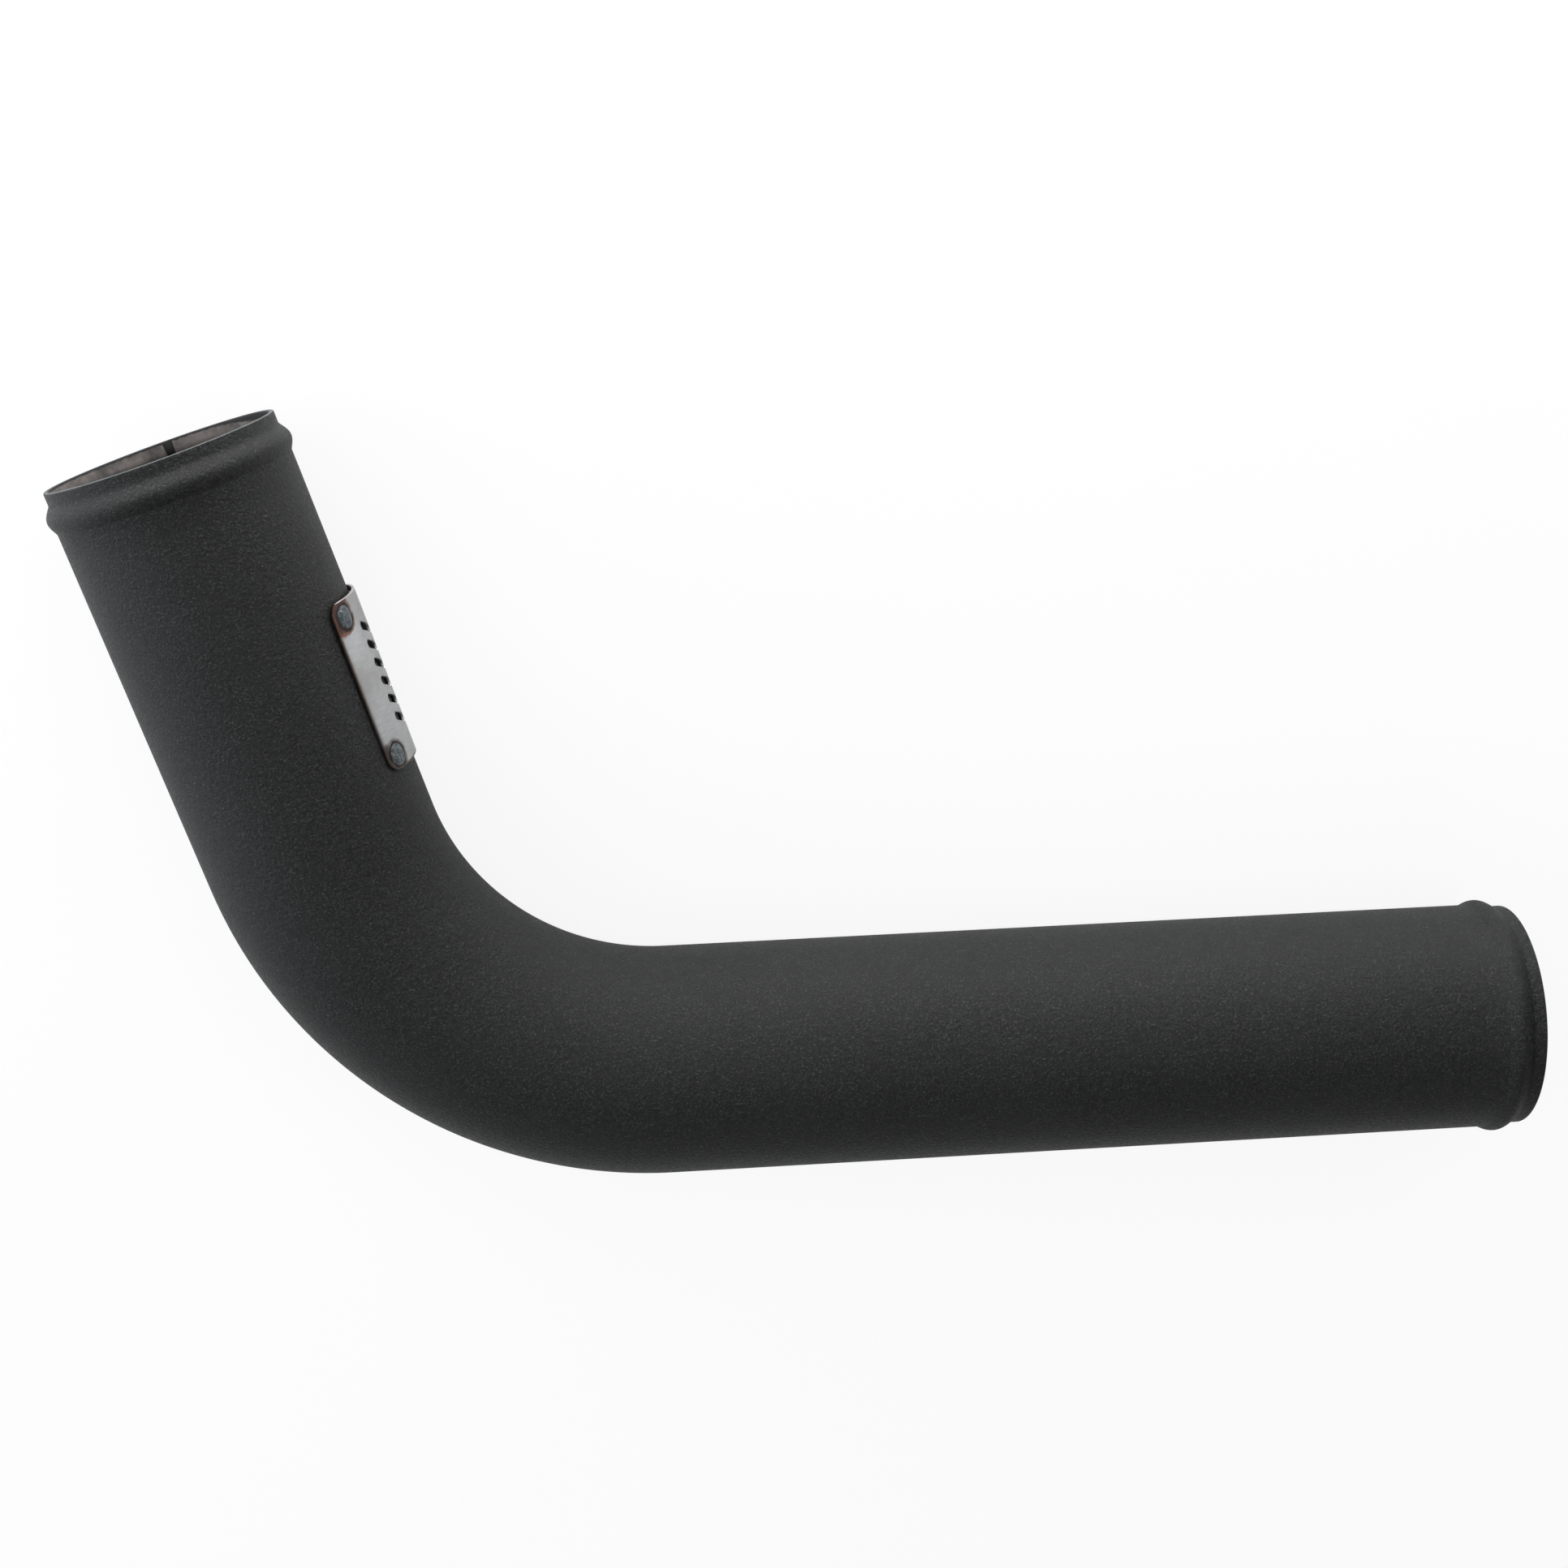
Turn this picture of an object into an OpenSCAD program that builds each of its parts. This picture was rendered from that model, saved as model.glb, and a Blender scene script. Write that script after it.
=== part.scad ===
// Mandrel-bent intercooler pipe: one steel tube with a bend between two straight legs,
// a rolled hose bead near each mouth, and a pierced sheet plate plug-welded inside the bend.
// The pipe lies on its side: the bend is in the XY plane and +Z is up.
// The origin is the centre of the long leg's mouth, and +X points out of that mouth.

/* [Tube] */
// Outside diameter of the tube
tube_od = 76.2; // [60:0.1:90]
// Wall thickness of the tube
wall = 1.65; // [1.2:0.05:2.4]
// Radius of the bend, measured to the tube's centre line
bend_radius = 114.3; // [100:0.1:180]
// Angle that the bend turns through
bend_angle = 73; // [30:1:120]
// Length of the straight leg that carries the plate
short_leg = 136; // [130:1:300]
// Length of the other straight leg
long_leg = 290; // [60:1:450]

/* [Hose beads] */
// How much smaller the lip's diameter is than the tube's
lip_step = 1.6; // [0.4:0.1:2.4]
// Length of the plain lip between the mouth and the bead
lip_length = 4.2; // [2:0.1:8]
// Height of the bead's crest above the tube
bead_height = 1.6; // [0.8:0.1:3]
// Length of the slope from the lip up to the crest
bead_rise = 4.8; // [3:0.1:8]
// Length of the slope from the crest down to the tube
bead_fall = 4.2; // [3:0.1:8]
// Radius that breaks the two edges of the mouth
rim_radius = 0.45; // [0.2:0.05:0.55]

/* [Lengthwise seam] */
// Width of the tube's own weld seam, seen inside it
seam_width = 3; // [1.5:0.1:5]
// Height of the seam above the inner wall
seam_height = 0.5; // [0.2:0.1:0.8]

/* [Plate] */
// Length of the plate along the leg
plate_length = 56.5; // [45:0.1:62]
// Distance from the mouth to the plate
plate_from_mouth = 60.3; // [16:0.1:70]
// Angle of the tube's girth that the plate covers
plate_wrap = 60; // [50:1:80]
// Thickness of the plate's sheet
plate_thickness = 0.9; // [0.6:0.1:1.5]
// Gap under the middle of the plate, at its end by the bend
plate_gap = 0.6; // [0.4:0.1:1.5]
// Angle by which the plate leans off the tube towards the mouth
plate_lean = 0.7; // [0:0.1:1]
// Corner radius of the plate
plate_corner = 4.5; // [2:0.1:6]
// Number of slots pierced through the plate
slot_count = 6; // [1:1:6]
// Width of a slot
slot_width = 2.8; // [1.5:0.1:3.5]
// Length of a slot from end to end
slot_length = 15; // [8:0.5:18]
// Distance from slot to slot
slot_pitch = 6.2; // [5.5:0.1:6.4]
// Angle at which the slots slant
slot_slant = 18; // [0:1:25]

/* [Plug welds] */
// Diameter of a weld
weld_diameter = 7.4; // [5:0.1:8.5]
// Height of a weld's dome above the plate
weld_height = 0.5; // [0.2:0.1:0.9]
// Distance of the welds from the plate's long edges
weld_side_inset = 5.8; // [5:0.1:7]
// Distance of the two welds by the mouth from that end of the plate
weld_mouth_inset = 5.2; // [5:0.1:8]
// Distance of the two welds by the bend from that end of the plate
weld_bend_inset = 4.5; // [4.5:0.1:8]

/* [Hidden] */
$fn = 128;

// Radii of the tube, its lip and the crest of its bead
tube_r = tube_od / 2;
lip_r = tube_r - lip_step / 2;
crest_r = tube_r + bead_height;
crest_at = lip_length + bead_rise;
bead_end = crest_at + bead_fall;

// The bend's wall is a hair slimmer on each side, and the end of each leg tapers into it
bend_slim = 0.02;
taper_length = 0.5;
// Points along each slope of the bead, and along each round edge of the mouth
slope_steps = 10;
rim_steps = 4;

// The seam starts just inside the mouth and is rooted in the wall
seam_start = rim_radius + 0.3;
seam_root = wall / 3;
seam_angle = 2 * asin(seam_width / 2 / (tube_r - wall));
bend_seam_angle = seam_angle * (1 - bend_slim);

// The plate is curled more tightly than the tube, so its long edges reach the tube first
sheet_clearance = 0.03;
seat_r = tube_r + sheet_clearance;
plate_top = tube_r + plate_gap;
seat_x = seat_r * cos(plate_wrap / 2);
curl_offset = (plate_top * plate_top - seat_r * seat_r) / (2 * (plate_top - seat_x));
curl_r = plate_top - curl_offset;
plate_half = atan2(seat_r * sin(plate_wrap / 2), seat_x - curl_offset);
plate_out_r = curl_r + plate_thickness;
mid_r = curl_r + plate_thickness / 2;

// Where the welds stand: their angle round the plate, and their distance from its bend end
weld_r = weld_diameter / 2;
weld_angle = plate_half - weld_side_inset / mid_r * 180 / PI;
weld_places = [weld_bend_inset, plate_length - weld_mouth_inset];

// Half of a smooth wave that climbs from 0 to 1
function ease(t) = (1 - cos(180 * t)) / 2;

// Outside radius of a leg at a distance from its mouth, along the two slopes of the bead
function rise_r(t) = lip_r + (crest_r - lip_r) * ease(t);
function fall_r(t) = crest_r + (tube_r - crest_r) * ease(t);

// Points [radius, -distance] of the bead's outer line, from the lip to the tube
bead_line = concat(
    [for (i = [0:slope_steps]) [rise_r(i / slope_steps), -lip_length - bead_rise * i / slope_steps]],
    [for (i = [1:slope_steps]) [fall_r(i / slope_steps), -crest_at - bead_fall * i / slope_steps]]
);

// Round edges of the mouth, on the outside and on the inside of the lip
rim_outer = [for (i = [0:rim_steps]) let (a = 90 - 90 * i / rim_steps)
    [lip_r - rim_radius + rim_radius * cos(a), -rim_radius + rim_radius * sin(a)]];
rim_inner = [for (i = [0:rim_steps]) let (a = 180 - 90 * i / rim_steps)
    [lip_r - wall + rim_radius + rim_radius * cos(a), -rim_radius + rim_radius * sin(a)]];

// A line moved towards the tube's axis, and a line taken backwards
function inwards(line, by) = [for (p = line) [p[0] - by, p[1]]];
function backwards(line) = [for (i = [len(line) - 1:-1:0]) line[i]];

// The last point of a leg's wall or seam, where it has tapered into the bend
function tapered(radius, length, by) = [radius + by, -length - taper_length];

// Half section of a leg's wall, from its mouth back to the bend
function leg_section(length) = concat(
    rim_outer,
    bead_line,
    [
        [tube_r, -length],
        tapered(tube_r, length, -2 * bend_slim),
        tapered(tube_r - wall, length, 2 * bend_slim),
        [tube_r - wall, -length]
    ],
    backwards(inwards(bead_line, wall)),
    rim_inner
);

// Half section of the seam, which follows the inner wall through the bead
function seam_section(length) = concat(
    inwards([[lip_r, -seam_start]], wall - seam_root),
    inwards(bead_line, wall - seam_root),
    [
        tapered(tube_r - wall + seam_root, length, 0),
        tapered(tube_r - wall - seam_height, length, 2 * bend_slim),
        [tube_r - wall - seam_height, -length]
    ],
    backwards(inwards(bead_line, wall + seam_height)),
    inwards([[lip_r, -seam_start]], wall + seam_height)
);

// A straight leg with its bead and seam, with its mouth at the origin facing +X
module leg(length) {
    rotate([0, 90, 0]) {
        rotate_extrude()
            polygon(leg_section(length));
        rotate([0, 0, -seam_angle / 2])
            rotate_extrude(angle = seam_angle)
                polygon(seam_section(length));
    }
}

// Section of the tube in the bend, with the seam on its lower side
module bend_section() {
    half_wedge = tube_r * tan(bend_seam_angle / 2);
    difference() {
        circle(r = tube_r - bend_slim);
        circle(r = tube_r - wall + bend_slim);
    }
    intersection() {
        difference() {
            circle(r = tube_r - wall + seam_root / 2);
            circle(r = tube_r - wall - seam_height + bend_slim);
        }
        polygon([[0, 0], [-half_wedge, -tube_r], [half_wedge, -tube_r]]);
    }
}

// The bend, from the end of one leg to the end of the other
module bend() {
    translate([-long_leg, bend_radius, 0])
        rotate([0, 0, -90 - bend_angle])
            rotate_extrude(angle = bend_angle)
                translate([bend_radius, 0])
                    bend_section();
}

// Puts its children at the short leg's mouth, with +X out of the mouth and -Y inside the bend
module at_short_mouth() {
    translate([-long_leg, bend_radius, 0])
        rotate([0, 0, -bend_angle])
            translate([0, -bend_radius, 0])
                rotate([0, 0, 180])
                    translate([short_leg, 0, 0])
                        children();
}

// Puts its children in the plate's own frame: +Z out of the tube through the plate's middle,
// +X towards the mouth, and the origin on the curl's axis at the plate's bend end
module at_plate() {
    at_short_mouth()
        translate([-plate_from_mouth - plate_length, 0, 0])
            rotate([90, 0, 0])
                translate([0, 0, plate_top])
                    rotate([0, -plate_lean, 0])
                        translate([0, 0, -curl_r])
                            children();
}

// Puts its children on the plate at an angle round it and a distance from its bend end
module on_plate(angle, along) {
    rotate([angle, 0, 0])
        translate([along, 0, 0])
            children();
}

// What a corner of the plate loses to its rounding: a square block less a round post
module corner_waste() {
    difference() {
        translate([0, 0, curl_r - 2])
            cube([plate_corner + 2, plate_corner + 2, plate_thickness + 4]);
        translate([0, 0, curl_r - 3])
            cylinder(r = plate_corner, h = plate_thickness + 6);
    }
}

// A slot with round ends, across the plate
module slot() {
    half_run = (slot_length - slot_width) / 2;
    translate([0, 0, curl_r - 6]) {
        translate([-slot_width / 2, -half_run, 0])
            cube([slot_width, 2 * half_run, 12]);
        for (side = [-1, 1])
            translate([0, side * half_run, 0])
                cylinder(r = slot_width / 2, h = 12);
    }
}

// The steel tube: two legs joined by the bend
module tube() {
    color([0.17, 0.175, 0.18]) {
        leg(long_leg);
        bend();
        at_short_mouth() leg(short_leg);
    }
}

// The curled sheet before it is pierced
module curled_sheet() {
    rotate([0, 90, 0])
        rotate([0, 0, 180 - plate_half])
            rotate_extrude(angle = 2 * plate_half)
                translate([curl_r, 0])
                    square([plate_thickness, plate_length]);
}

// Places for the four corners of the plate, each with the corner's own turn
module plate_corners() {
    inset = plate_corner - 0.03;
    corner_angle = plate_half - inset / mid_r * 180 / PI;
    for (side = [-1, 1]) {
        on_plate(side * corner_angle, plate_length - inset)
            mirror([0, side > 0 ? 1 : 0, 0]) children();
        on_plate(side * corner_angle, inset)
            mirror([1, 0, 0])
                mirror([0, side > 0 ? 1 : 0, 0]) children();
    }
}

// Places for the four welds, on the curl's axis
module weld_spots() {
    for (side = [-1, 1])
        for (along = weld_places)
            on_plate(side * weld_angle, along) children();
}

// The pierced sheet, with a hole for each weld
module badge_plate() {
    color([0.68, 0.67, 0.66])
        at_plate()
            difference() {
                curled_sheet();
                plate_corners() corner_waste();
                weld_spots()
                    translate([0, 0, curl_r - 3])
                        cylinder(r = weld_r, h = plate_thickness + 6);
                for (i = [0:slot_count - 1])
                    translate([plate_length / 2 + (i - (slot_count - 1) / 2) * slot_pitch, 0, 0])
                        rotate([0, 0, slot_slant])
                            slot();
            }
}

// A plug of weld metal that fills its hole and ends in a low dome
module weld_plug() {
    dome_r = (weld_r * weld_r + weld_height * weld_height) / (2 * weld_height);
    intersection() {
        translate([0, 0, curl_r - 3])
            cylinder(r = weld_r, h = plate_thickness + 6);
        translate([0, 0, plate_out_r + weld_height - dome_r])
            sphere(r = dome_r);
    }
}

// The four plug welds, from the tube's outer wall up through the plate
module weld_nuggets() {
    color([0.43, 0.47, 0.5])
        difference() {
            at_plate() weld_spots() weld_plug();
            at_short_mouth()
                rotate([0, -90, 0])
                    cylinder(r = tube_r, h = short_leg);
        }
}

tube();
badge_plate();
weld_nuggets();
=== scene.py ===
"""A bent steel pipe with a hose bead at each mouth and a pierced plate welded to it."""
import math

import bmesh
import bpy
from mathutils import Matrix, Vector, noise


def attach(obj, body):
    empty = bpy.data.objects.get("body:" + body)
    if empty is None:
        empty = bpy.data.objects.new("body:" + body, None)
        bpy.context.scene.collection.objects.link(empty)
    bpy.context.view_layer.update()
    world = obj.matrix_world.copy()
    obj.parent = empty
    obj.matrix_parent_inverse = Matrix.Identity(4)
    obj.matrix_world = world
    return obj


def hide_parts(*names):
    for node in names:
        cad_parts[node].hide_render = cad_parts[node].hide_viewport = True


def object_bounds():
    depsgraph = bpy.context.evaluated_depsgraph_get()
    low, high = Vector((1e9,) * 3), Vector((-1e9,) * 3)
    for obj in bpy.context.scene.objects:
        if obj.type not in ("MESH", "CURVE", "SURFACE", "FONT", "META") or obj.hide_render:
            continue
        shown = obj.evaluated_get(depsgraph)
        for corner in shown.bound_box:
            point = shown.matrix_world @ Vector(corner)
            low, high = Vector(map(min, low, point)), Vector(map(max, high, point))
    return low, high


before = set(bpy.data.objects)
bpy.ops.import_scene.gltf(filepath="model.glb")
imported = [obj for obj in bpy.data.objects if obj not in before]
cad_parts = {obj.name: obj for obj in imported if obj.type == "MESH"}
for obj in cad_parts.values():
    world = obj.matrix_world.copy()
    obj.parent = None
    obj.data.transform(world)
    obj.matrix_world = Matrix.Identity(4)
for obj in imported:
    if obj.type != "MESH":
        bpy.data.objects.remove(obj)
cad_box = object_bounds()

MM = 0.001

# The tube, in metres
TUBE_R = 38.1 * MM
WALL = 1.65 * MM
BEND_R = 114.3 * MM
BEND_ANGLE = math.radians(73)
SHORT_LEG = 136 * MM
LONG_LEG = 290 * MM
BEND_RUN = BEND_R * BEND_ANGLE
WHOLE_RUN = LONG_LEG + BEND_RUN + SHORT_LEG

# The lip, the bead and the round edges of the mouths. The lip and the crest are 0.06 mm
# slimmer than in the solids, so that this finer mesh stays inside their box.
LIP_R = 37.24 * MM
LIP_LENGTH = 4.2 * MM
CREST_R = 39.64 * MM
BEAD_RISE = 4.8 * MM
BEAD_FALL = 4.2 * MM
CREST_AT = LIP_LENGTH + BEAD_RISE
BEAD_END = CREST_AT + BEAD_FALL
RIM_R = 0.45 * MM
LIP_STOPS = (RIM_R, 1.6 * MM, 2.9 * MM)
SWELL_POWER = 1.15

# The number of steps in the tube's mesh
SLOPE_STEPS = 12
RIM_STEPS = 6
LONG_LEG_STEPS = 24
BEND_STEPS = 64
SHORT_LEG_STEPS = 12
ROUND_STEPS = 168
SEAM_STEPS = 10

# The lengthwise seam inside, turned 7 degrees past the bottom
SEAM_HALF = 1.5 * MM
SEAM_HEIGHT = 0.5 * MM
SEAM_START = 0.75 * MM
SEAM_RAMP = 0.6 * MM
SEAM_TURN = math.radians(-97)
SEAM_SPREAD = 1.6
SEAM_WAVES = 400
SEAM_WOBBLE = 0.15
SEAM_SEED = 3.7

# The plate, the slots through it and its plug welds
PLATE_LENGTH = 56.5 * MM
PLATE_FROM_MOUTH = 60.3 * MM
PLATE_WRAP = math.radians(60)
PLATE_THICK = 0.9 * MM
PLATE_GAP = 0.6 * MM
PLATE_LEAN = math.radians(0.7)
PLATE_CORNER = 4.5 * MM
PLATE_EDGE = 0.14 * MM
SLOT_COUNT = 6
SLOT_WIDTH = 2.8 * MM
SLOT_LENGTH = 15 * MM
SLOT_PITCH = 6.2 * MM
SLOT_SLANT = math.radians(18)
WELD_R = 3.7 * MM
WELD_HEIGHT = 0.5 * MM
WELD_SIDE_INSET = 5.8 * MM
WELD_MOUTH_INSET = 5.2 * MM
WELD_BEND_INSET = 4.5 * MM
WELD_ROOT = 1.1 * MM
WELD_OVAL = 0.02
DOME_POWER = 0.75
DOME_SHARE = 0.82
LUMP_SHARE = 0.3
BROAD_LUMPS = 2.3
SMALL_LUMPS = 5

# The steps in the plate's and the welds' meshes, and the angles at which they stay sharp
CORNER_STEPS = 8
HOLE_STEPS = 32
STRIP_WIDTH = 0.9 * MM
PLATE_SHARP = math.radians(28)
WELD_STEPS = 48
WELD_RINGS = 12
WELD_SHARP = math.radians(60)

# The plate is curled more tightly than the tube, so its long edges reach the tube first
SHEET_CLEARANCE = 0.03 * MM
SEAT_R = TUBE_R + SHEET_CLEARANCE
PLATE_TOP = TUBE_R + PLATE_GAP
SEAT_X = SEAT_R * math.cos(PLATE_WRAP / 2)
CURL_OFFSET = (PLATE_TOP ** 2 - SEAT_R ** 2) / (2 * (PLATE_TOP - SEAT_X))
CURL_R = PLATE_TOP - CURL_OFFSET
PLATE_HALF = math.atan2(SEAT_R * math.sin(PLATE_WRAP / 2), SEAT_X - CURL_OFFSET)
MID_R = CURL_R + PLATE_THICK / 2
PLATE_OUT_R = CURL_R + PLATE_THICK
PLATE_WIDTH = 2 * PLATE_HALF * MID_R
WELD_ACROSS = PLATE_WIDTH / 2 - WELD_SIDE_INSET
WELD_ALONG = (WELD_BEND_INSET, PLATE_LENGTH - WELD_MOUTH_INSET)

# The camera: its place, its own right, up and backward directions, its lens and its sensor
CAMERA_AT = (-0.297215, 0.304836, 0.741240)
CAMERA_RIGHT = (0.996891, -0.027447, 0.073853)
CAMERA_UP = (0.046475, 0.961766, -0.269900)
CAMERA_BACK = (-0.063621, 0.272493, 0.960052)
CAMERA_LENS = 53.98
CAMERA_SENSOR = 36

# Noise scales (per metre) and colours of the coat
COAT_GRAIN = 950
COAT_SPECKS = 1700
COAT_PATCHES = 30
COAT_DARK = (0.0015, 0.0017, 0.0018)
COAT_LIGHT = (0.0135, 0.014, 0.0145)
COAT_PATCH = (0.01, 0.0105, 0.011)
COAT_SPECK = (0.052, 0.053, 0.055)
# The mouths' edges: partly thin rubbed coat, partly a painted highlight along the rim
COAT_WORN_AND_HIGHLIGHT = (0.1, 0.112, 0.115)

# The bore, the coat wrapped into it and the black run along its seam
BORE_GRAIN = 500
BORE_CLOUDS = 110
BORE_DARK = (0.062, 0.057, 0.054)
BORE_LIGHT = (0.165, 0.146, 0.138)
WRAPPED_COAT = (0.011, 0.012, 0.013)
SEAM_COAT = (0.004, 0.004, 0.0045)
RUN_TAPER = 0.055

# The plate and its welds
SHEET_STREAKS = 2400
SHEET_BLOTCHES = 230
SHEET_CLOUDS = 90
STEEL_DARK = (0.39, 0.395, 0.4)
STEEL_LIGHT = (0.495, 0.5, 0.505)
STEEL_CLOUD = (0.33, 0.325, 0.32)
SCORCHED = (0.028, 0.018, 0.016)
# A painted highlight: the near-white line on the plate's edge at the mouth end
MOUTH_END_HIGHLIGHT = (0.78, 0.72, 0.71)
WELD_GRAIN = 700
WELD_GLINTS = 1300
WELD_DARK = (0.05, 0.06, 0.067)
WELD_LIGHT = (0.125, 0.145, 0.155)
# Painted glints: the colour of the welds' small bright spots
WELD_GLINT = (0.55, 0.56, 0.56)

# The floor lies under the lowest point of the solids
FLOOR_SIZE = 12.0
FLOOR_Z = cad_box[0][2]

# The lamps: place, size across and along, power in watts and colour, all aimed at one point
AIM = (-0.26, 0.06, 0.0)
LAMPS = {
    "back_strip": ((-0.25, 0.62, 0.04), 1.5, 0.14, 7.0, (1.0, 1.0, 1.0)),
    "high_back_softbox": ((-0.25, 0.85, 1.25), 1.8, 0.9, 6.0, (1.0, 1.0, 1.0)),
    "overhead_softbox": ((-0.25, 0.06, 1.6), 1.6, 1.6, 3.9, (1.0, 1.0, 1.0)),
    "corner_softbox": ((-1.15, 1.1, 0.5), 0.9, 0.9, 5.8, (0.98, 0.99, 1.0)),
    "left_softbox": ((-1.65, 0.1, 0.22), 1.2, 0.7, 10.6, (0.93, 0.97, 1.0)),
    "high_left_softbox": ((-1.3, 0.1, 0.95), 1.2, 0.9, 4.9, (0.95, 0.98, 1.0)),
    "right_softbox": ((0.75, 0.1, 1.25), 0.8, 0.8, 2.8, (1.0, 1.0, 1.0)),
    "front_softbox": ((-0.25, -1.0, 0.95), 1.8, 0.9, 4.5, (1.0, 1.0, 1.0)),
}

# The surround's strength, the share of plain white in what the camera sees of the floor,
# and the floor's own colour
WORLD_LEVEL = 0.06
FLOOR_GLOW = 0.87
FLOOR_PALE = 0.9


def path_frame(run):
    """The centre line's point and sideways direction, at a distance from the long leg's mouth."""
    if run <= LONG_LEG:
        return Vector((-run, 0, 0)), Vector((0, 1, 0))
    turn = min((run - LONG_LEG) / BEND_R, BEND_ANGLE)
    side = Vector((math.sin(turn), math.cos(turn), 0))
    point = Vector((-LONG_LEG, BEND_R, 0)) - BEND_R * side
    past = max(run - LONG_LEG - BEND_RUN, 0)
    return point + past * Vector((-math.cos(turn), math.sin(turn), 0)), side


def swell(t):
    """A quarter of a wave: it climbs from 0 at once and eases to 1 at the bead's crest."""
    return math.sin(math.pi * t / 2) ** SWELL_POWER


def lip_line():
    """Points (distance from the mouth, radius) of the lip and the bead's outer line."""
    line = [(stop, LIP_R) for stop in LIP_STOPS]
    for i in range(SLOPE_STEPS + 1):
        t = i / SLOPE_STEPS
        line.append((LIP_LENGTH + BEAD_RISE * t, LIP_R + (CREST_R - LIP_R) * swell(t)))
    for i in range(1, SLOPE_STEPS + 1):
        t = i / SLOPE_STEPS
        line.append((CREST_AT + BEAD_FALL * t, TUBE_R + (CREST_R - TUBE_R) * swell(1 - t)))
    return line


def rim_arc(inner):
    """The rounded edge of the mouth's wall, from its flat face to its side."""
    centre = LIP_R - WALL + RIM_R if inner else LIP_R - RIM_R
    way = -1 if inner else 1
    points = []
    for i in range(RIM_STEPS):
        a = math.radians(90 - 90 * i / RIM_STEPS)
        points.append((RIM_R - RIM_R * math.sin(a), centre + way * RIM_R * math.cos(a)))
    return points


def spread(first, last, count):
    """Evenly spaced values after the first, up to the last."""
    return [first + (last - first) * i / count for i in range(1, count + 1)]


def wall_rings():
    """The closed line round the wall as (run, radius, is inside, depth from the nearest mouth)."""
    mouth = rim_arc(False) + lip_line()
    bore_mouth = rim_arc(True) + [(d, r - WALL) for d, r in lip_line()]
    bend_end = LONG_LEG + BEND_RUN
    long_runs = spread(BEAD_END, LONG_LEG, LONG_LEG_STEPS)
    bend_runs = spread(LONG_LEG, bend_end, BEND_STEPS)
    short_runs = spread(bend_end, WHOLE_RUN - BEAD_END, SHORT_LEG_STEPS)[:-1]
    middle = long_runs + bend_runs + short_runs
    outer = [(d, r, False, d) for d, r in mouth]
    outer += [(run, TUBE_R, False, min(run, WHOLE_RUN - run)) for run in middle]
    outer += [(WHOLE_RUN - d, r, False, d) for d, r in reversed(mouth)]
    inner = [(WHOLE_RUN - d, r, True, d) for d, r in bore_mouth]
    inner += [(run, TUBE_R - WALL, True, min(run, WHOLE_RUN - run)) for run in reversed(middle)]
    inner += [(d, r, True, d) for d, r in reversed(bore_mouth)]
    return outer + inner


def wall_turns():
    """Angles round the tube, closer together where the seam is."""
    half = SEAM_HALF / (TUBE_R - WALL)
    steps = range(2 * SEAM_STEPS + 1)
    close = [SEAM_TURN + half * SEAM_SPREAD * (i / SEAM_STEPS - 1) for i in steps]
    rest = 2 * math.pi - 2 * half * SEAM_SPREAD
    wide = [close[-1] + rest * i / ROUND_STEPS for i in range(1, ROUND_STEPS)]
    return close + wide


def seam_rise(turn, run, depth):
    """How far the seam stands in from the inner wall."""
    arc = (turn - SEAM_TURN) * (TUBE_R - WALL)
    if abs(arc) >= SEAM_HALF or depth <= SEAM_START:
        return 0.0
    crown = 1 - (arc / SEAM_HALF) ** 4
    waves = noise.noise(Vector((run * SEAM_WAVES, SEAM_SEED, 0)))
    wobble = 1 - SEAM_WOBBLE + SEAM_WOBBLE * waves
    return SEAM_HEIGHT * crown * wobble * min((depth - SEAM_START) / SEAM_RAMP, 1)


def add_mesh(name, points, faces, materials):
    """A smooth-shaded mesh object with these materials."""
    mesh = bpy.data.meshes.new(name)
    mesh.from_pydata([tuple(p) for p in points], [], faces)
    for material in materials:
        mesh.materials.append(material)
    mesh.shade_smooth()
    piece = bpy.data.objects.new(name, mesh)
    bpy.context.collection.objects.link(piece)
    return piece


def give_points(mesh, name, values):
    """Stores one number for each point of a mesh, for a material to read."""
    layer = mesh.attributes.new(name, "FLOAT", "POINT")
    layer.data.foreach_set("value", values)


def make_tube():
    """The tube's wall, swept along the bend, with its seam inside."""
    rings = wall_rings()
    turns = wall_turns()
    points, depths, arcs, sides = [], [], [], []
    for run, radius, inside, depth in rings:
        centre, side = path_frame(run)
        for turn in turns:
            r = radius - (seam_rise(turn, run, depth) if inside else 0)
            points.append(centre + r * (math.cos(turn) * side + Vector((0, 0, math.sin(turn)))))
            depths.append(depth)
            from_seam = (turn - SEAM_TURN + math.pi) % (2 * math.pi) - math.pi
            arcs.append(abs(from_seam) * radius)
            sides.append(math.cos(turn))
    faces = []
    count = len(turns)
    for j in range(len(rings)):
        here, there = j * count, (j + 1) % len(rings) * count
        for i in range(count):
            k = (i + 1) % count
            faces.append((here + i, there + i, there + k, here + k))
    piece = add_mesh("bent_tube", points, faces, [powder_coat(), bare_bore()])
    first_inside = next(j for j, ring in enumerate(rings) if ring[2])
    last_inside = len(rings) - 1
    inside = [int(first_inside <= f // count < last_inside) for f in range(len(faces))]
    piece.data.polygons.foreach_set("material_index", inside)
    give_points(piece.data, "depth", depths)
    give_points(piece.data, "seam_arc", arcs)
    give_points(piece.data, "side", sides)
    return piece


def rounded_outline(length, width, corner):
    """Points round a rectangle with rounded corners, from x 0 and centred on y 0."""
    points = []
    corners = (
        (length - corner, width / 2 - corner, 0),
        (corner, width / 2 - corner, 90),
        (corner, corner - width / 2, 180),
        (length - corner, corner - width / 2, 270),
    )
    for x, y, start in corners:
        for i in range(CORNER_STEPS + 1):
            a = math.radians(start + 90 * i / CORNER_STEPS)
            points.append((x + corner * math.cos(a), y + corner * math.sin(a)))
    return points


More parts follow.
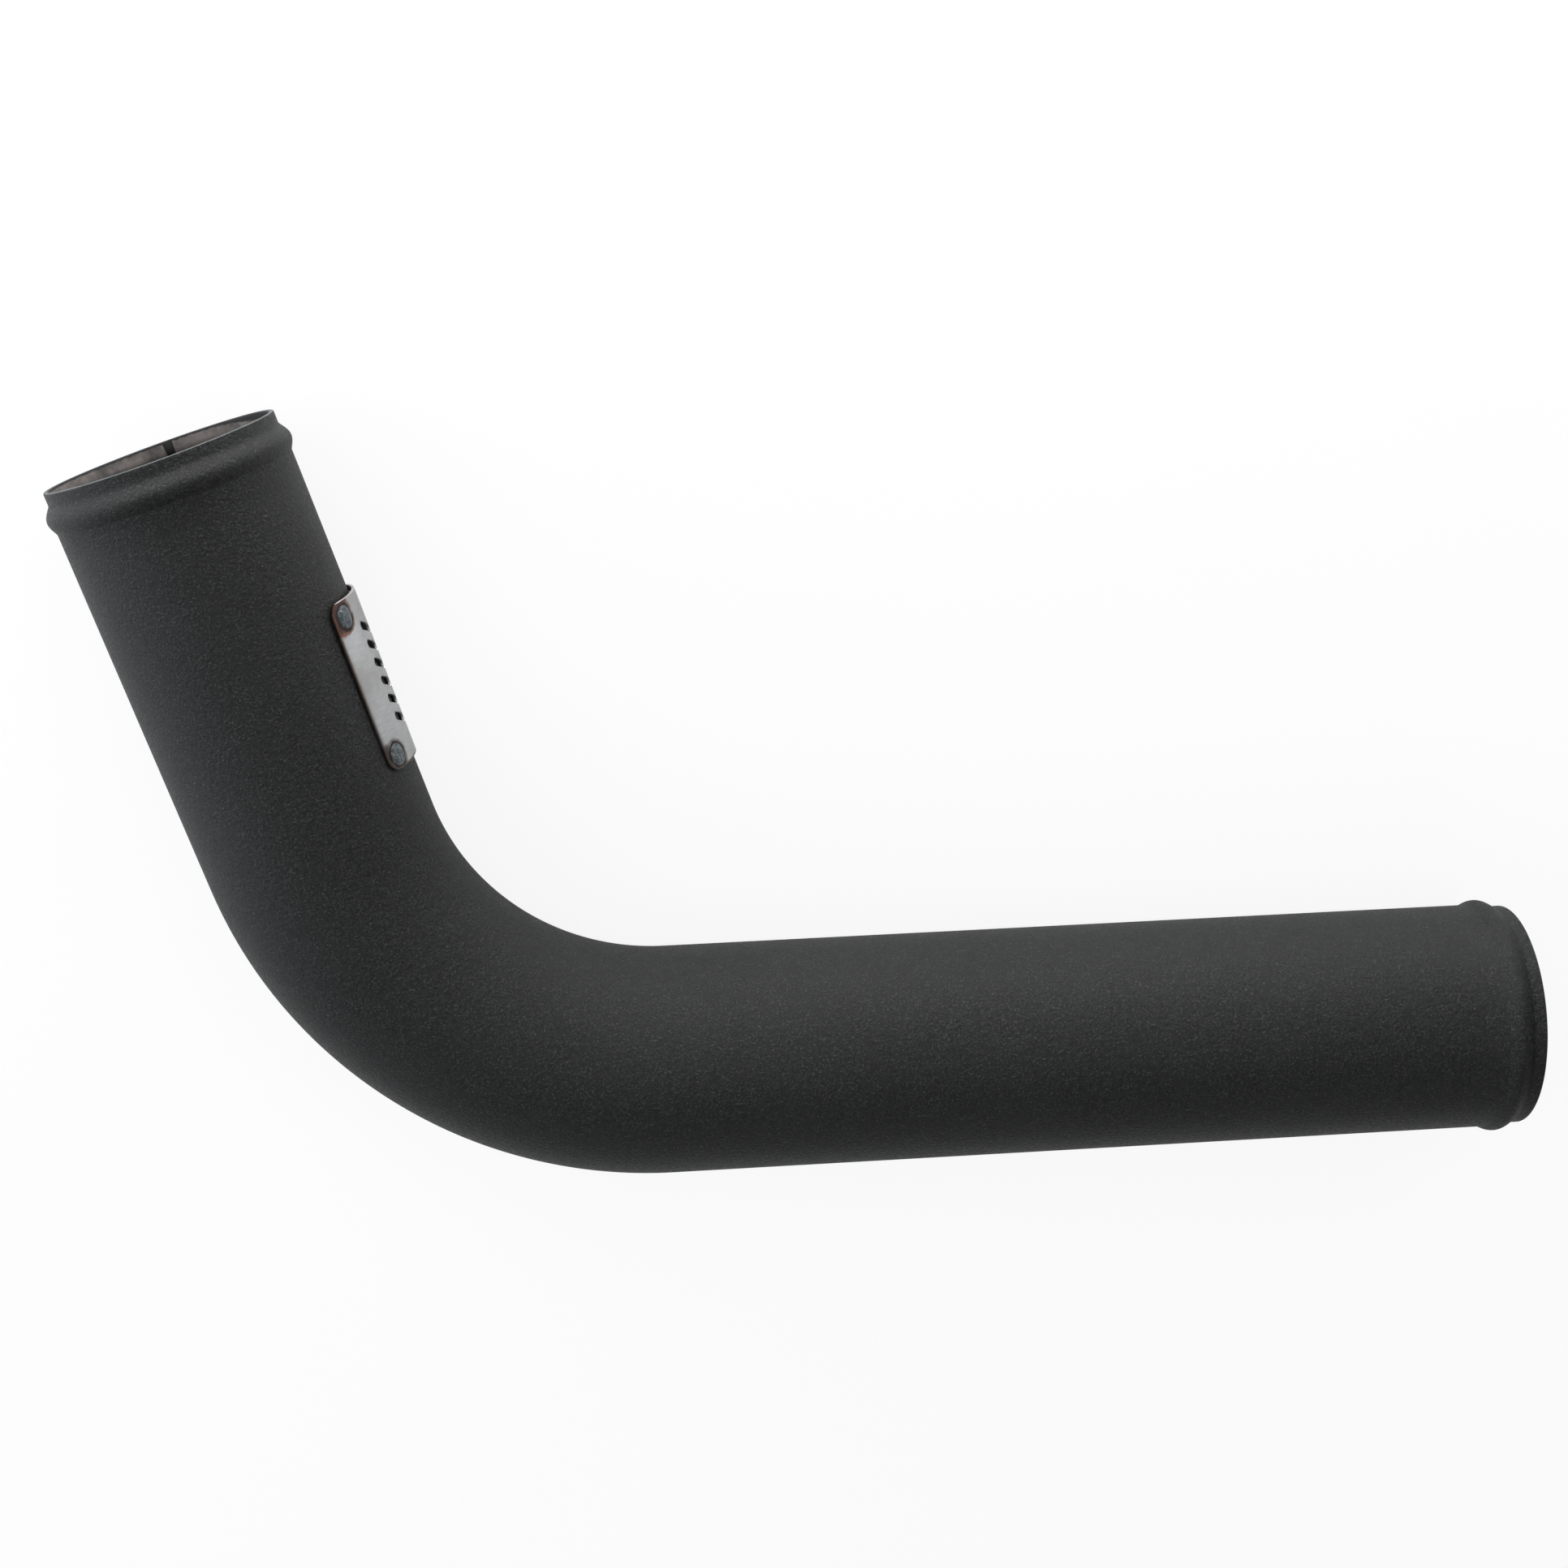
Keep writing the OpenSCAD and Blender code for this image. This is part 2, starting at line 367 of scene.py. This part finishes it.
def slot_outline(centre):
    """Points round a slanted slot with round ends."""
    reach = (SLOT_LENGTH - SLOT_WIDTH) / 2
    points = []
    for end in (1, -1):
        for i in range(CORNER_STEPS + 1):
            a = math.radians((0 if end > 0 else 180) + 180 * i / CORNER_STEPS)
            x = SLOT_WIDTH / 2 * math.cos(a)
            y = end * reach + SLOT_WIDTH / 2 * math.sin(a)
            points.append((
                centre + x * math.cos(SLOT_SLANT) - y * math.sin(SLOT_SLANT),
                x * math.sin(SLOT_SLANT) + y * math.cos(SLOT_SLANT),
            ))
    return points


def ring_outline(x, y, radius):
    """Points round a hole."""
    angles = [2 * math.pi * i / HOLE_STEPS for i in range(HOLE_STEPS)]
    return [(x + radius * math.cos(a), y + radius * math.sin(a)) for a in angles]


def flat_sheet(outlines):
    """The plate before it is curled: flat, with its holes and softened edges, in millimetres."""
    curve = bpy.data.curves.new("flat_sheet", "CURVE")
    curve.dimensions = "2D"
    curve.fill_mode = "BOTH"
    curve.extrude = (PLATE_THICK / 2 - PLATE_EDGE) / MM
    curve.bevel_depth = PLATE_EDGE / MM
    curve.bevel_resolution = 2
    curve.offset = -PLATE_EDGE / MM
    for outline in outlines:
        spline = curve.splines.new("POLY")
        spline.points.add(len(outline) - 1)
        for point, (x, y) in zip(spline.points, outline):
            point.co = (x / MM, y / MM, 0, 1)
        spline.use_cyclic_u = True
    holder = bpy.data.objects.new("flat_sheet", curve)
    bpy.context.collection.objects.link(holder)
    sheet = bmesh.new()
    sheet.from_mesh(holder.to_mesh())
    holder.to_mesh_clear()
    bpy.data.objects.remove(holder)
    bpy.data.curves.remove(curve)
    bmesh.ops.remove_doubles(sheet, verts=sheet.verts, dist=0.001)
    return sheet


def slice_across(sheet, step):
    """Cuts a flat sheet into narrow strips along its length, so that it can be curled."""
    half = int(PLATE_WIDTH / 2 / step)
    for i in range(-half, half + 1):
        parts = list(sheet.verts) + list(sheet.edges) + list(sheet.faces)
        at = (0, i * step / MM, 0)
        bmesh.ops.bisect_plane(sheet, geom=parts, dist=0.0005, plane_co=at, plane_no=(0, 1, 0))


def plate_place():
    """The plate's own frame: on the curl's axis at its bend end, with +Z out of the tube."""
    centre, side = path_frame(WHOLE_RUN)
    out = Vector((-side.y, side.x, 0))
    basis = Matrix((out, Vector((0, 0, 1)).cross(out), Vector((0, 0, 1)))).transposed().to_4x4()
    mouth = Matrix.Translation(centre) @ basis
    place = mouth @ Matrix.Translation((-PLATE_FROM_MOUTH - PLATE_LENGTH, 0, 0))
    place = place @ Matrix.Rotation(math.radians(90), 4, "X")
    place = place @ Matrix.Translation((0, 0, PLATE_TOP))
    place = place @ Matrix.Rotation(-PLATE_LEAN, 4, "Y")
    return place @ Matrix.Translation((0, 0, -CURL_R))


def curl(along, across, radius):
    """A point of the flat plate, curled round its axis."""
    turn = across / MID_R
    return Vector((along, -radius * math.sin(turn), radius * math.cos(turn)))


def make_plate():
    """The pierced sheet, cut flat and then curled."""
    outlines = [rounded_outline(PLATE_LENGTH, PLATE_WIDTH, PLATE_CORNER)]
    for side in (-1, 1):
        for along in WELD_ALONG:
            outlines.append(ring_outline(along, side * WELD_ACROSS, WELD_R))
    for i in range(SLOT_COUNT):
        outlines.append(slot_outline(PLATE_LENGTH / 2 + (i - (SLOT_COUNT - 1) / 2) * SLOT_PITCH))
    sheet = flat_sheet(outlines)
    slice_across(sheet, STRIP_WIDTH)
    place = plate_place()
    flat_points = []
    for vert in sheet.verts:
        x, y, z = vert.co * MM
        flat_points.append((x, y))
        vert.co = place @ curl(x, y, MID_R + z)
    bmesh.ops.recalc_face_normals(sheet, faces=sheet.faces)
    mesh = bpy.data.meshes.new("curled_plate")
    sheet.to_mesh(mesh)
    sheet.free()
    mesh.materials.append(brushed_steel())
    mesh.shade_smooth()
    mesh.set_sharp_from_angle(angle=PLATE_SHARP)
    give_points(mesh, "along", [p[0] for p in flat_points])
    give_points(mesh, "across", [p[1] for p in flat_points])
    piece = bpy.data.objects.new("curled_plate", mesh)
    bpy.context.collection.objects.link(piece)
    return piece


def plug_height(share, turn, seed):
    """Height of a weld's lumpy dome above the plate, at a share of its radius."""
    x, y = share * math.cos(turn), share * math.sin(turn)
    broad = noise.noise(Vector((BROAD_LUMPS * x, BROAD_LUMPS * y, seed)))
    small = noise.noise(Vector((SMALL_LUMPS * x, SMALL_LUMPS * y, seed + 9)))
    dome = (1 - share ** 2) ** DOME_POWER
    return WELD_HEIGHT * dome * (DOME_SHARE + LUMP_SHARE * (broad + small / 2))


def plug_mesh(along, across, seed, points, faces):
    """Adds one plug weld: a lumpy dome on a round post that is rooted in the tube's wall."""
    first = len(points)
    for j in range(WELD_RINGS + 2):
        share = min(j / WELD_RINGS, 1)
        for i in range(WELD_STEPS):
            turn = 2 * math.pi * i / WELD_STEPS
            reach = WELD_R * share * (1 + WELD_OVAL * math.sin(3 * turn + seed) * share)
            height = PLATE_OUT_R + plug_height(share, turn, seed)
            if j > WELD_RINGS:
                height = CURL_R - WELD_ROOT
            place = (along + reach * math.cos(turn), across + reach * math.sin(turn), height)
            points.append(place)
    for j in range(WELD_RINGS + 1):
        here, there = first + j * WELD_STEPS, first + (j + 1) * WELD_STEPS
        for i in range(WELD_STEPS):
            k = (i + 1) % WELD_STEPS
            faces.append((here + i, there + i, there + k, here + k))
    foot = first + (WELD_RINGS + 1) * WELD_STEPS
    faces.append(tuple(foot + i for i in range(WELD_STEPS)))


def make_plugs():
    """The four plug welds in one piece."""
    points, faces = [], []
    place = plate_place()
    for n, side in enumerate((-1, 1)):
        for m, along in enumerate(WELD_ALONG):
            seed = 1.7 + 3 * n + 5 * m
            plug_mesh(along, side * WELD_ACROSS, seed, points, faces)
    curled = [place @ curl(x, y, r) for x, y, r in points]
    piece = add_mesh("plug_welds", curled, faces, [weld_metal()])
    mesh = bmesh.new()
    mesh.from_mesh(piece.data)
    bmesh.ops.remove_doubles(mesh, verts=mesh.verts, dist=0.002 * MM)
    bmesh.ops.recalc_face_normals(mesh, faces=mesh.faces)
    mesh.to_mesh(piece.data)
    mesh.free()
    piece.data.set_sharp_from_angle(angle=WELD_SHARP)
    return piece


def new_material(name, roughness, metallic=0.0, specular=0.5):
    """A material with one principled shader; returns it, its node tree and the shader."""
    material = bpy.data.materials.new(name)
    material.use_nodes = True
    tree = material.node_tree
    shader = tree.nodes["Principled BSDF"]
    shader.inputs["Roughness"].default_value = roughness
    shader.inputs["Metallic"].default_value = metallic
    shader.inputs["Specular IOR Level"].default_value = specular
    return material, tree, shader


def add_noise(tree, scale, detail=2.0, roughness=0.5, vector=None):
    """A noise texture over the object's own space, or over a given vector."""
    texture = tree.nodes.new("ShaderNodeTexNoise")
    texture.inputs["Scale"].default_value = scale
    texture.inputs["Detail"].default_value = detail
    texture.inputs["Roughness"].default_value = roughness
    if vector is None:
        vector = tree.nodes.new("ShaderNodeTexCoord").outputs["Object"]
    tree.links.new(vector, texture.inputs["Vector"])
    return texture.outputs["Fac"]


def add_math(tree, operation, first, second=None):
    """A math node on sockets or numbers."""
    node = tree.nodes.new("ShaderNodeMath")
    node.operation = operation
    for socket, value in zip(node.inputs, (first, second)):
        if value is None:
            continue
        if isinstance(value, (int, float)):
            socket.default_value = value
        else:
            tree.links.new(value, socket)
    return node.outputs[0]


def add_range(tree, value, low, high, to_low=0.0, to_high=1.0):
    """Maps a value smoothly from one range to another."""
    node = tree.nodes.new("ShaderNodeMapRange")
    node.interpolation_type = "SMOOTHSTEP"
    node.inputs["From Min"].default_value = low
    node.inputs["From Max"].default_value = high
    node.inputs["To Min"].default_value = to_low
    node.inputs["To Max"].default_value = to_high
    tree.links.new(value, node.inputs["Value"])
    return node.outputs["Result"]


def mix_colours(tree, factor, first, second):
    """A mix of two colours, each a socket or an RGB triple."""
    node = tree.nodes.new("ShaderNodeMix")
    node.data_type = "RGBA"
    tree.links.new(factor, node.inputs[0])
    for socket, value in ((node.inputs[6], first), (node.inputs[7], second)):
        if isinstance(value, tuple):
            socket.default_value = (*value, 1)
        else:
            tree.links.new(value, socket)
    return node.outputs[2]


def add_bump(tree, height, distance, strength, normal=None):
    """A bump of a real height in metres."""
    node = tree.nodes.new("ShaderNodeBump")
    node.inputs["Distance"].default_value = distance
    node.inputs["Strength"].default_value = strength
    tree.links.new(height, node.inputs["Height"])
    if normal is not None:
        tree.links.new(normal, node.inputs["Normal"])
    return node.outputs["Normal"]


def read_points(tree, name):
    """A number that the mesh stores for each point."""
    node = tree.nodes.new("ShaderNodeAttribute")
    node.attribute_name = name
    return node.outputs["Fac"]


def powder_coat():
    """Black powder coat with a fine dry grain; the mouths' edges are a lighter grey, partly thin
    rubbed coat and partly a painted highlight.
    """
    material, tree, shader = new_material("powder_coat", 0.55, specular=0.28)
    grain = add_noise(tree, COAT_GRAIN, 3, 0.7)
    specks = add_noise(tree, COAT_SPECKS, 1, 0.5)
    patches = add_noise(tree, COAT_PATCHES, 3, 0.55)
    fine = mix_colours(tree, add_range(tree, grain, 0.4, 0.66), COAT_DARK, COAT_LIGHT)
    patchy = add_range(tree, patches, 0.3, 0.7, 0.0, 0.25)
    colour = mix_colours(tree, patchy, fine, COAT_PATCH)
    speckled = add_range(tree, specks, 0.57, 0.7, 0.0, 0.6)
    colour = mix_colours(tree, speckled, colour, COAT_SPECK)
    # A lighter rim on the mouths' edges: partly thin rubbed coat, partly a painted highlight
    uneven = add_math(tree, "MULTIPLY", grain, 0.3 * MM)
    edge = add_math(tree, "ADD", read_points(tree, "depth"), uneven)
    worn_and_highlit = add_range(tree, edge, 0.2 * MM, 0.5 * MM, 0.7, 0.0)
    colour = mix_colours(tree, worn_and_highlit, colour, COAT_WORN_AND_HIGHLIGHT)
    tree.links.new(colour, shader.inputs["Base Color"])
    tree.links.new(add_range(tree, grain, 0.3, 0.7, 0.44, 0.66), shader.inputs["Roughness"])
    pitted = add_bump(tree, specks, 0.3 * MM, 0.7)
    tree.links.new(add_bump(tree, grain, 0.6 * MM, 0.95, pitted), shader.inputs["Normal"])
    return material


def bare_bore():
    """Bare brownish inner wall, with coat wrapped over the rim and a dark run along the seam."""
    material, tree, shader = new_material("bare_bore", 0.55, specular=0.3)
    depth = read_points(tree, "depth")
    arc = read_points(tree, "seam_arc")
    ragged = add_noise(tree, BORE_GRAIN, 3, 0.6)
    cloudy = add_noise(tree, BORE_CLOUDS, 3, 0.65)
    steel = mix_colours(tree, add_range(tree, cloudy, 0.36, 0.64), BORE_DARK, BORE_LIGHT)
    reach = add_range(tree, read_points(tree, "side"), 0.3, 0.85, 0.0, 1.6 * MM)
    edge = add_math(tree, "ADD", depth, add_math(tree, "MULTIPLY", ragged, 1.0 * MM))
    past_reach = add_math(tree, "SUBTRACT", edge, reach)
    wrapped = add_range(tree, past_reach, 1.05 * MM, 1.5 * MM, 1.0, 0.0)
    run_edge = add_math(tree, "ADD", arc, add_math(tree, "MULTIPLY", depth, RUN_TAPER))
    run = add_range(tree, run_edge, 1.55 * MM, 1.85 * MM, 1.0, 0.0)
    colour = mix_colours(tree, wrapped, steel, WRAPPED_COAT)
    colour = mix_colours(tree, run, colour, SEAM_COAT)
    tree.links.new(colour, shader.inputs["Base Color"])
    tree.links.new(add_bump(tree, ragged, 0.05 * MM, 0.5), shader.inputs["Normal"])
    return material


def add_past(tree, place, limit, share):
    """The way from a limit to a place, with what lies past the limit counted at a share."""
    past = add_math(tree, "SUBTRACT", place, limit)
    outward = add_math(tree, "MULTIPLY", add_math(tree, "MAXIMUM", past, 0.0), share)
    return add_math(tree, "ADD", outward, add_math(tree, "MINIMUM", past, 0.0))


def weld_distance(tree, along, across, to_side, to_end):
    """Distance to the nearest weld's middle, with the plate's edge and end drawn nearer."""
    y = add_past(tree, across, WELD_ACROSS, to_side)
    distances = []
    for place, way in zip(WELD_ALONG, (-1, 1)):
        past = add_math(tree, "MULTIPLY", add_math(tree, "SUBTRACT", along, place), way)
        x = add_past(tree, past, 0.0, to_end)
        x_square = add_math(tree, "MULTIPLY", x, x)
        square = add_math(tree, "ADD", x_square, add_math(tree, "MULTIPLY", y, y))
        distances.append(add_math(tree, "SQRT", square))
    return add_math(tree, "MINIMUM", *distances)


def brushed_sheet(tree, streaks):
    """The plate's colour away from its welds: fine streaks with darker clouds."""
    clouds = add_noise(tree, SHEET_CLOUDS, 2, 0.5)
    steel = mix_colours(tree, add_range(tree, streaks, 0.3, 0.7), STEEL_DARK, STEEL_LIGHT)
    return mix_colours(tree, add_range(tree, clouds, 0.4, 0.7, 0.0, 0.7), steel, STEEL_CLOUD)


def heat_tint(tree, along, halo, collar, blotches):
    """The colour round the welds: redder by the mouth, greyer by the bend, darkest at the weld."""
    mouthward = add_range(tree, along, 12 * MM, 30 * MM)
    blotchy = add_range(tree, blotches, 0.4, 0.6)
    red_brown = mix_colours(tree, blotchy, (0.19, 0.1, 0.075), (0.17, 0.125, 0.105))
    grey_brown = mix_colours(tree, blotchy, (0.15, 0.12, 0.105), (0.2, 0.185, 0.17))
    burnt = mix_colours(tree, mouthward, (0.085, 0.074, 0.068), (0.075, 0.047, 0.04))
    brown = mix_colours(tree, mouthward, grey_brown, red_brown)
    brown = mix_colours(tree, add_range(tree, halo, 5.2 * MM, 6.3 * MM), burnt, brown)
    scorch = mix_colours(tree, add_range(tree, collar, 5.7 * MM, 6.4 * MM), SCORCHED, brown)
    rim = mix_colours(tree, mouthward, (0.11, 0.085, 0.07), (0.15, 0.085, 0.06))
    return scorch, rim


def brushed_steel():
    """Brushed sheet with brown heat tint round the welds and along its edges, and a painted
    highlight on its edge at the mouth end.
    """
    material, tree, shader = new_material("brushed_steel", 0.4, metallic=1.0)
    along = read_points(tree, "along")
    across_signed = read_points(tree, "across")
    across = add_math(tree, "ABSOLUTE", across_signed)
    combine = tree.nodes.new("ShaderNodeCombineXYZ")
    tree.links.new(along, combine.inputs["X"])
    tree.links.new(add_math(tree, "MULTIPLY", across_signed, 0.08), combine.inputs["Y"])
    streaks = add_noise(tree, SHEET_STREAKS, 2, 0.6, combine.outputs["Vector"])
    blotches = add_noise(tree, SHEET_BLOTCHES, 3, 0.6)
    wander = add_math(tree, "MULTIPLY", blotches, 3 * MM)
    halo = add_math(tree, "ADD", weld_distance(tree, along, across, 0.45, 0.7), wander)
    collar = add_math(tree, "ADD", weld_distance(tree, along, across, 1.0, 1.0), wander)
    to_side = add_math(tree, "SUBTRACT", PLATE_WIDTH / 2, across)
    edge = add_math(tree, "MINIMUM", to_side, along)
    tint, rim = heat_tint(tree, along, halo, collar, blotches)
    tinted = add_range(tree, halo, 6.4 * MM, 7.3 * MM, 1.0, 0.0)
    colour = mix_colours(tree, tinted, brushed_sheet(tree, streaks), tint)
    colour = mix_colours(tree, add_range(tree, edge, 0.3 * MM, 0.9 * MM, 0.8, 0.0), colour, rim)
    # Painted highlight: a near-white line along the plate's edge at the mouth end
    cut = add_range(tree, along, PLATE_LENGTH - 0.25 * MM, PLATE_LENGTH - 0.1 * MM)
    colour = mix_colours(tree, cut, colour, MOUTH_END_HIGHLIGHT)
    tree.links.new(colour, shader.inputs["Base Color"])
    tree.links.new(add_range(tree, streaks, 0.3, 0.7, 0.36, 0.48), shader.inputs["Roughness"])
    tree.links.new(add_bump(tree, streaks, 0.01 * MM, 0.5), shader.inputs["Normal"])
    return material


def weld_metal():
    """Blue-grey, slightly scaly weld metal with a few painted glints as small bright spots."""
    material, tree, shader = new_material("weld_metal", 0.36, metallic=0.8)
    grain = add_noise(tree, WELD_GRAIN, 3, 0.6)
    specks = add_noise(tree, WELD_GLINTS, 1, 0.5)
    colour = mix_colours(tree, add_range(tree, grain, 0.35, 0.65), WELD_DARK, WELD_LIGHT)
    # Painted glints: small near-white spots mixed into the weld's colour
    colour = mix_colours(tree, add_range(tree, specks, 0.68, 0.76), colour, WELD_GLINT)
    tree.links.new(colour, shader.inputs["Base Color"])
    tree.links.new(add_bump(tree, grain, 0.35 * MM, 0.7), shader.inputs["Normal"])
    return material


def white_for_camera(tree, other, strength):
    """Mixes plain white light, seen only by the camera, with another shader."""
    glow = tree.nodes.new("ShaderNodeEmission")
    glow.inputs["Color"].default_value = (1, 1, 1, 1)
    mix = tree.nodes.new("ShaderNodeMixShader")
    rays = tree.nodes.new("ShaderNodeLightPath")
    share = add_math(tree, "MULTIPLY", rays.outputs["Is Camera Ray"], strength)
    tree.links.new(share, mix.inputs["Fac"])
    tree.links.new(other, mix.inputs[1])
    tree.links.new(glow.outputs["Emission"], mix.inputs[2])
    return mix.outputs["Shader"]


def make_floor():
    """A plain pale floor under the pipe."""
    half = FLOOR_SIZE / 2
    corners = ((-half, -half), (half, -half), (half, half), (-half, half))
    points = [(x, y, FLOOR_Z) for x, y in corners]
    material = bpy.data.materials.new("pale_floor")
    material.use_nodes = True
    tree = material.node_tree
    tree.nodes.remove(tree.nodes["Principled BSDF"])
    matt = tree.nodes.new("ShaderNodeBsdfDiffuse")
    matt.inputs["Color"].default_value = (FLOOR_PALE, FLOOR_PALE, FLOOR_PALE, 1)
    shown = white_for_camera(tree, matt.outputs["BSDF"], FLOOR_GLOW)
    tree.links.new(shown, tree.nodes["Material Output"].inputs["Surface"])
    floor = add_mesh("floor", points, [(0, 1, 2, 3)], [material])


def make_world():
    """A dim even surround that the camera sees as white."""
    world = bpy.data.worlds.new("surround")
    bpy.context.scene.world = world
    world.use_nodes = True
    tree = world.node_tree
    dim = tree.nodes["Background"]
    dim.inputs["Color"].default_value = (1, 1, 1, 1)
    dim.inputs["Strength"].default_value = WORLD_LEVEL
    white = tree.nodes.new("ShaderNodeBackground")
    white.inputs["Color"].default_value = (1, 1, 1, 1)
    mix = tree.nodes.new("ShaderNodeMixShader")
    rays = tree.nodes.new("ShaderNodeLightPath")
    tree.links.new(rays.outputs["Is Camera Ray"], mix.inputs["Fac"])
    tree.links.new(dim.outputs["Background"], mix.inputs[1])
    tree.links.new(white.outputs["Background"], mix.inputs[2])
    tree.links.new(mix.outputs["Shader"], tree.nodes["World Output"].inputs["Surface"])


def make_lamps():
    """Soft studio lamps, each aimed at the middle of the pipe."""
    for name, (place, across, along, power, colour) in LAMPS.items():
        data = bpy.data.lights.new(name, "AREA")
        data.shape = "RECTANGLE"
        data.size = across
        data.size_y = along
        data.energy = power
        data.color = colour
        lamp = bpy.data.objects.new(name, data)
        lamp.location = place
        lamp.rotation_euler = (Vector(AIM) - Vector(place)).to_track_quat("-Z", "Y").to_euler()
        lamp.visible_camera = False
        bpy.context.collection.objects.link(lamp)


def make_camera():
    """The camera of the photograph."""
    data = bpy.data.cameras.new("camera")
    data.sensor_width = CAMERA_SENSOR
    data.lens = CAMERA_LENS
    camera = bpy.data.objects.new("camera", data)
    basis = Matrix((CAMERA_RIGHT, CAMERA_UP, CAMERA_BACK)).transposed().to_4x4()
    camera.matrix_world = Matrix.Translation(CAMERA_AT) @ basis
    bpy.context.collection.objects.link(camera)
    bpy.context.scene.camera = camera


def dress():
    """Makes each piece, hangs it under the root body and hides the solid it stands for."""
    for make, node, slot in (
        (make_tube, "tube", "black_powder_coat"),
        (make_plate, "badge_plate", "brushed_plate"),
        (make_plugs, "weld_nuggets", "weld_metal"),
    ):
        piece = make()
        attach(piece, "root")
        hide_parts(node)


bpy.context.scene.view_settings.view_transform = "Standard"
make_camera()
dress()
make_floor()
make_world()
make_lamps()
